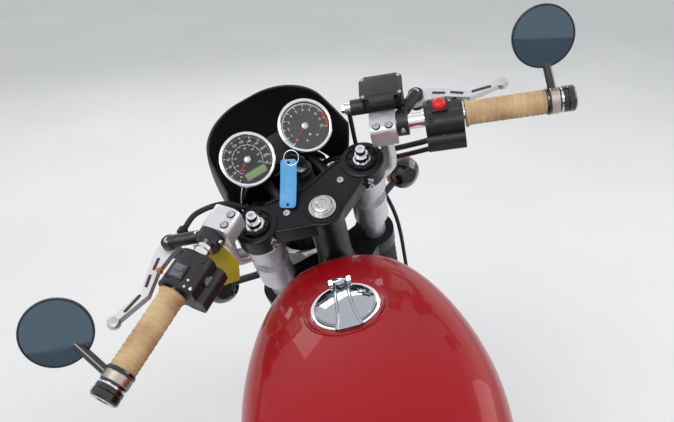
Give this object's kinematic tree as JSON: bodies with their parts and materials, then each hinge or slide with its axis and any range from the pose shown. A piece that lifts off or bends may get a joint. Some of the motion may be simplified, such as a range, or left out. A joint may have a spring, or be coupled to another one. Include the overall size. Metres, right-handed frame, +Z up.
{
  "type": "cafe racer motorcycle",
  "caption": "Upright-framed cafe racer motorcycle with clip-on style bars, fly screen, wire wheels and finned engine, leaning on its side stand.",
  "frame": {"origin": "middle of the bounding box's base, on the ground, as the machine leans on its side stand", "axes": "+X forward along the machine, +Y to its left, +Z up"},
  "size_m": [2.131, 0.7371, 1.1736],
  "materials": {
    "frame_black": "satin",
    "yoke_black": "satin",
    "red_paint": "gloss metallic",
    "chrome": "polished",
    "steel": "brushed",
    "alloy": "satin",
    "satin_silver": "satin anodised",
    "engine_black": "semi-matt",
    "tyre": "matt",
    "rubber": "matt",
    "black_plastic": "matt",
    "gloss_black": "gloss",
    "tan_grip": "worn",
    "seat_leather": "matt",
    "lamp": "polished rim",
    "red_lens": "gloss",
    "chain_steel": "oily"
  },
  "bodies": {
    "chassis": {"frame": "frame_black", "swingarm": "frame_black", "rear_axle": "steel", "rear_shocks": "chrome", "crankcase": "engine_black", "engine_covers": "alloy", "cylinders": "engine_black", "cylinder_head": "engine_black", "cam_cover": "alloy", "throttle_bodies": "alloy", "airbox": "black_plastic", "side_panels": "red_paint", "exhaust_pipes": "chrome", "silencers": "chrome", "oil_cooler": "frame_black", "fuel_tank": "red_paint", "filler_ring": "chrome", "seat": "seat_leather", "seat_cowl": "red_paint", "rear_mudguard": "gloss_black", "tail_lamp": "red_lens", "rear_indicators": "black_plastic", "chain": "chain_steel", "chain_guard": "frame_black", "rear_caliper": "engine_black", "footrests": "alloy"},
    "cap_lid": {"fuel_cap_lid": "chrome"},
    "side_stand": {"side_stand": "frame_black"},
    "rear_wheel": {"rear_tyre": "tyre", "rear_wheel": "chrome", "rear_disc": "steel", "rear_sprocket": "steel"},
    "front_wheel": {"front_tyre": "tyre", "front_wheel": "chrome", "front_disc": "steel"},
    "steering": {"top_yoke": "yoke_black", "lower_yoke": "yoke_black", "stem_nut": "steel", "fork_tubes": "chrome", "fork_caps": "yoke_black", "fork_gaiters": "rubber", "fork_sliders": "alloy", "front_axle": "steel", "front_mudguard": "gloss_black", "front_caliper": "engine_black", "bar_risers": "satin_silver", "handlebars": "chrome", "grips": "tan_grip", "switch_blocks": "black_plastic", "levers": "satin_silver", "clutch_perch": "black_plastic", "master_cylinder": "black_plastic", "mirrors": "gloss_black", "gauges": "chrome", "ignition_switch": "steel", "headlamp": "lamp", "headlamp_brackets": "yoke_black", "fly_screen": "gloss_black", "front_indicators": "black_plastic"}
  },
  "joints": [
    {"name": "rear_wheel_spin", "type": "hinge", "parent": "chassis", "child": "rear_wheel", "pos_m": [-0.72541, -0.13022, 0.31582], "axis": [-0.0007, 0.9799, -0.1994], "continuous": true},
    {"name": "steering_turn", "type": "hinge", "parent": "chassis", "child": "steering", "pos_m": [0.3925, -0.00963, 0.90448], "axis": [-0.4508, 0.1776, 0.8748], "range_deg": [-42, 0]},
    {"name": "front_wheel_spin", "type": "hinge", "parent": "steering", "child": "front_wheel", "pos_m": [0.76111, -0.11045, 0.30307], "axis": [-0.3206, 0.8824, -0.3444], "continuous": true},
    {"name": "cap_lid_hinge", "type": "hinge", "parent": "chassis", "child": "cap_lid", "pos_m": [0.25161, -0.01658, 0.87083], "axis": [-0.0007, 0.9799, -0.1994], "range_deg": [0, 85]},
    {"name": "side_stand_fold", "type": "hinge", "parent": "chassis", "child": "side_stand", "pos_m": [-0.08607, -0.04257, 0.13238], "axis": [-0.0333, 0.8208, 0.5702], "range_deg": [0, 95.62]}
  ]
}
